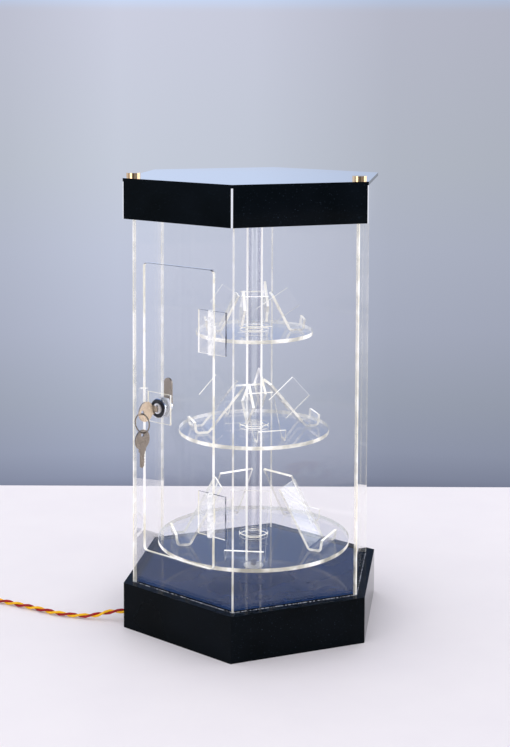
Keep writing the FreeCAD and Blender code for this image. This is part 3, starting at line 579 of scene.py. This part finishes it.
def cement_bead():
    """A fine bead along the outer feet of the six clear panels."""
    face = -Vector(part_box("door_frame_panel")[0]).y
    floor = Vector(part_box("deck")[1]).z
    mesh = bmesh.new()
    for side in range(CABINET_SIDES):
        turn = Matrix.Rotation(2 * math.pi * side / CABINET_SIDES, 3, "Z")
        profile = []
        for out, rise in ((0, BEAD_SIZE), (0, 0), (BEAD_SIZE, 0)):
            half = (face + out) * math.tan(math.pi / CABINET_SIDES)
            ends = [turn @ Vector((x, -face - out, floor + rise)) for x in (-half, half)]
            profile.append([mesh.verts.new(end) for end in ends])
        for first, second in zip(profile, profile[1:] + profile[:1]):
            mesh.faces.new((first[0], first[1], second[1], second[0]))
        for end in (0, 1):
            mesh.faces.new([pair[end] for pair in profile])
    # Solvent cement squeezed out along the panels' feet: a row of white dots.
    cement = edge_material("solvent_cement", "dfe4ee", "8a94aa", grain=2.5, cover=(0.45, 0.0), glow=0.0)
    bead = new_piece("cement_bead", mesh, [cement])
    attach(bead, "cabinet")


def pair_line():
    """Control points of the pair: its route, then the coil in on the table and out over itself. Then the
    spots where the coil crosses its far side."""
    route = [Vector(spot) * MM for spot in PAIR_ROUTE]
    heading = route[-1] - route[-2]
    heading = Vector((heading.x, heading.y, 0)).normalized()
    aside = Vector((-heading.y, heading.x, 0))
    at, radius, lift = route[-1] + heading * (2 * PAIR_RADIUS), COIL_OUTER, 0
    points, far = [*route], []
    # The curve runs a little inside its control points, so they lie a little outside the turn.
    outside = 1 / math.cos(math.pi / (2 * COIL_POINTS_PER_HALF))
    for half in range(COIL_HALVES_IN + 1 + COIL_HALVES_OUT):
        climb = COIL_STEP if half == COIL_HALVES_IN else 0
        centre = at + aside * radius
        for step in range(COIL_POINTS_PER_HALF):
            turn = math.pi * (step + 0.5) / COIL_POINTS_PER_HALF
            arm = (heading * math.sin(turn) - aside * math.cos(turn)) * (radius * outside)
            points.append(centre + arm + UP * (lift + climb * (1 - math.cos(turn)) / 2))
        at = centre + aside * radius
        if half % 2 == 0:
            far.append(at + UP * lift)
        heading, aside, lift = -heading, -aside, lift + climb
        radius += COIL_STEP / 2 if half >= COIL_HALVES_IN else -COIL_STEP / 2
    points.append(at + UP * lift + heading * (2 * PAIR_RADIUS))
    return points, far


def smooth_line(points):
    """The points along the smooth curve that the control points steer."""
    curve = bpy.data.curves.new("pair_route", "CURVE")
    curve.dimensions = "3D"
    curve.resolution_u = PAIR_STEPS
    spline = curve.splines.new("NURBS")
    spline.points.add(len(points) - 1)
    for point, spot in zip(spline.points, points):
        point.co = (*spot, 1)
    spline.order_u = 3
    spline.use_endpoint_u = True
    bare = bpy.data.objects.new("pair_route", curve)
    mesh = bpy.data.meshes.new_from_object(bare)
    line = [v.co.copy() for v in mesh.vertices]
    bpy.data.meshes.remove(mesh)
    bpy.data.objects.remove(bare)
    bpy.data.curves.remove(curve)
    return line


def strand(mesh, line, phase, slot):
    """One wire of the pair, wound about the line."""
    rings, walked = [], 0.0
    for n, spot in enumerate(line):
        way = (line[min(n + 1, len(line) - 1)] - line[max(n - 1, 0)]).normalized()
        if n:
            walked += (spot - line[n - 1]).length
        across = way.cross(UP).normalized()
        over = across.cross(way)
        turn = phase + 2 * math.pi * walked / TWIST_PITCH
        centre = spot + (across * math.cos(turn) + over * math.sin(turn)) * WIRE_OFFSET
        ring = []
        for k in range(WIRE_SIDES):
            angle = 2 * math.pi * k / WIRE_SIDES
            out = across * math.cos(angle) + over * math.sin(angle)
            ring.append(mesh.verts.new(centre + out * WIRE_RADIUS))
        rings.append(ring)
    for low, high in zip(rings, rings[1:]):
        for k in range(WIRE_SIDES):
            after = (k + 1) % WIRE_SIDES
            face = mesh.faces.new((low[k], low[after], high[after], high[k]))
            face.material_index = slot
            face.smooth = True
    for ring in (rings[0][::-1], rings[-1]):
        mesh.faces.new(ring).material_index = slot


def coil_tie(spots, look):
    """A film strap round the turns of the coil that pass the spots."""
    inward = (spots[1] - spots[0]).normalized()
    along = UP.cross(inward)
    foot = Vector((spots[0].x, spots[0].y, 0))
    reaches = [(spot - spots[0]).dot(inward) for spot in spots]
    low, high = min(reaches) - TIE_SLACK, max(reaches) + TIE_SLACK
    top = max(spot.z for spot in spots) + PAIR_RADIUS + TIE_FILM
    loop = []
    bends = [(high, top, 0), (low, top, 90), (low, TIE_FLOOR, 180), (high, TIE_FLOOR, 270)]
    for reach, height, start in bends:
        inset = Vector((math.copysign(TIE_BEND, reach - (low + high) / 2), 0))
        rise = -TIE_BEND if height == top else TIE_BEND
        for step in range(TIE_STEPS + 1):
            turn = math.radians(start + 90 * step / TIE_STEPS)
            out = Vector((math.cos(turn), math.sin(turn)))
            loop.append((Vector((reach, height + rise)) - inset + out * TIE_BEND, out))
    mesh = bmesh.new()
    rings = []
    for spot, out in loop:
        ring = []
        for depth, side in ((0, -1), (0, 1), (-TIE_FILM, 1), (-TIE_FILM, -1)):
            flat = spot + out * depth
            corner = foot + inward * flat.x + UP * flat.y + along * (side * TIE_WIDE / 2)
            ring.append(mesh.verts.new(corner))
        rings.append(ring)
    for ring, after in zip(rings, rings[1:] + rings[:1]):
        for k, corner in enumerate(ring):
            following = (k + 1) % len(ring)
            mesh.faces.new((corner, ring[following], after[following], after[k]))
    tie = new_piece("coil_tie", mesh, [look])
    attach(tie, "cabinet")
    return tie


def twisted_pair(red, film):
    """A red and a yellow wire wound round each other, over the table and into the tied coil."""
    points, far = pair_line()
    line = smooth_line(points)
    mesh = bmesh.new()
    strand(mesh, line, 0.0, 0)
    strand(mesh, line, math.pi, 1)
    # Extruded PVC insulation, like the red: saturated, with a soft shine.
    yellow = solid_material("yellow_pvc", "ffc806", "f0b400", grain=5, polish=(0.28, 0.4), relief=0.03,
                            Specular_IOR_Level=0.3)
    pair = new_piece("twisted_pair", mesh, [red, yellow])
    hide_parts("supply_cord", "cord_coil")
    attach(pair, "cabinet")
    coil_tie(far, film)


def view_axes():
    """The camera's place, and its right, up and back directions."""
    turn, pitch, roll = (math.radians(angle) for angle in (CAMERA_TURN, CAMERA_PITCH, CAMERA_ROLL))
    out = Vector((math.sin(turn), -math.cos(turn), 0))
    place = out * CAMERA_REACH + UP * CAMERA_HEIGHT
    forward = -out * math.cos(pitch) - UP * math.sin(pitch)
    aside = forward.cross(UP).normalized()
    upward = aside.cross(forward)
    right = aside * math.cos(roll) + upward * math.sin(roll)
    above = upward * math.cos(roll) - aside * math.sin(roll)
    return place, right, above, -forward


def camera():
    """The camera at the photograph's place."""
    data = bpy.data.cameras.new("camera")
    data.sensor_width = CAMERA_SENSOR
    data.lens = CAMERA_LENS
    data.shift_y = CAMERA_SHIFT
    place, right, above, back = view_axes()
    rig = bpy.data.objects.new("camera", data)
    rig.matrix_world = Matrix((right, above, back)).transposed().to_4x4()
    rig.location = place
    bpy.context.collection.objects.link(rig)
    bpy.context.scene.camera = rig


def flat_axes():
    """The camera's right and away directions, laid level."""
    _, right, _, _ = view_axes()
    right = Vector((right.x, right.y, 0)).normalized()
    return right, UP.cross(right)


def table():
    """A pale table top that ends a little behind the cabinet."""
    right, away = flat_axes()
    front, back = -TABLE_HALF, TABLE_BACK
    corners = [(-TABLE_HALF, front), (TABLE_HALF, front), (TABLE_HALF, back), (-TABLE_HALF, back)]
    data = bpy.data.meshes.new("table")
    data.from_pydata([right * x + away * y for x, y in corners], [], [(0, 1, 2, 3)])
    # Matt laminate: pale with a cool cast.
    laminate = solid_material("matt_laminate", "efecf2", "ebe8ef", grain=140, polish=(0.6, 0.7), relief=0.01)
    data.materials.append(laminate)
    board = bpy.data.objects.new("table", data)
    bpy.context.collection.objects.link(board)


def backdrop():
    """A grey-blue studio behind everything, and an even pale light from all round."""
    world = bpy.data.worlds.new("studio")
    bpy.context.scene.world = world
    world.use_nodes = True
    world.node_tree.nodes.clear()
    axes = dict(zip(("right", "away"), flat_axes()))
    way = add_node(world, "ShaderNodeTexCoord").outputs["Generated"]
    height = add_node(world, "ShaderNodeSeparateXYZ", {"Vector": way}).outputs["Z"]
    share = add_node(world, "ShaderNodeMapRange", {"Value": height},
                     From_Min=BACKDROP_LOW, From_Max=BACKDROP_HIGH)
    shades = add_node(world, "ShaderNodeValToRGB", {"Fac": share.outputs[0]})
    marks = shades.color_ramp.elements
    while len(marks) < len(BACKDROP_SHADES):
        marks.new(0.5)
    for mark, (rise, code) in zip(marks, BACKDROP_SHADES):
        mark.position = (rise - BACKDROP_LOW) / (BACKDROP_HIGH - BACKDROP_LOW)
        mark.color = colour(code)
    strength = None
    for direction, *span in BACKDROP_SIDES:
        along = add_node(world, "ShaderNodeVectorMath", {0: way}, operation="DOT_PRODUCT")
        along.inputs[1].default_value = axes[direction]
        step = add_node(world, "ShaderNodeMapRange", {"Value": along.outputs["Value"]},
                        **dict(zip(("From_Min", "From_Max", "To_Min", "To_Max"), span))).outputs[0]
        if strength is None:
            strength = step
        else:
            strength = add_node(world, "ShaderNodeMath", {0: strength, 1: step}).outputs[0]
    seen = add_node(world, "ShaderNodeBackground", {"Color": shades.outputs["Color"], "Strength": strength})
    light = add_node(world, "ShaderNodeBackground", Color=colour(ROOM_LIGHT_COLOUR), Strength=ROOM_LIGHT)
    path = add_node(world, "ShaderNodeLightPath")
    looked = path.outputs["Is Camera Ray"]
    for ray in ("Is Glossy Ray", "Is Transmission Ray"):
        either = add_node(world, "ShaderNodeMath", {0: looked, 1: path.outputs[ray]}, operation="MAXIMUM")
        looked = either.outputs[0]
    mixed = add_node(world, "ShaderNodeMixShader", {0: looked, 1: light.outputs[0], 2: seen.outputs[0]})
    add_node(world, "ShaderNodeOutputWorld", {"Surface": mixed.outputs[0]})


def softbox(name, spot, aim, size, brightness, gloss_only=False):
    """A soft lamp of the given surface brightness, where 1 is white. One for gloss only is mirrored by shiny
    surfaces and doesn't light matt ones."""
    wide, tall = size
    data = bpy.data.lights.new(name, "AREA")
    data.shape = "RECTANGLE"
    data.size = wide
    data.size_y = tall
    data.energy = math.pi * wide * tall * brightness
    light = bpy.data.objects.new(name, data)
    light.location = spot
    light.rotation_euler = (Vector(aim) - Vector(spot)).to_track_quat("-Z", "Y").to_euler()
    light.visible_camera = False
    light.visible_diffuse = not gloss_only
    bpy.context.collection.objects.link(light)


def lights():
    """A lamp overhead, one that the right lower easel mirrors, and two that metal shows as white bands."""
    softbox("overhead_softbox", spot=(-0.5, -0.2, 3.0), aim=(0, 0, 0), size=(2.0, 2.0), brightness=1.2)
    softbox("easel_glare_softbox", spot=(0.54, 2.14, 0.46), aim=(0.06, 0.015, 0.124), size=(0.7, 0.6),
            brightness=1.9)
    for name, spot in (("left_softbox", (0.0, -1.7, 0.6)), ("right_softbox", (1.34, 1.05, 0.6))):
        softbox(name, spot, aim=(0, 0, 0.5), size=(1.0, 1.0), brightness=2.2, gloss_only=True)


scene = bpy.context.scene
scene.view_settings.view_transform = "Standard"
scene.cycles.max_bounces = CLEAR_BOUNCES
scene.cycles.transmission_bounces = CLEAR_BOUNCES
scene.cycles.transparent_max_bounces = CLEAR_PASSES
looks = solid_looks()
dress(clear_looks(), looks)
cement_bead()
twisted_pair(looks["twisted_pvc"], looks["white_nylon"])
camera()
table()
backdrop()
lights()
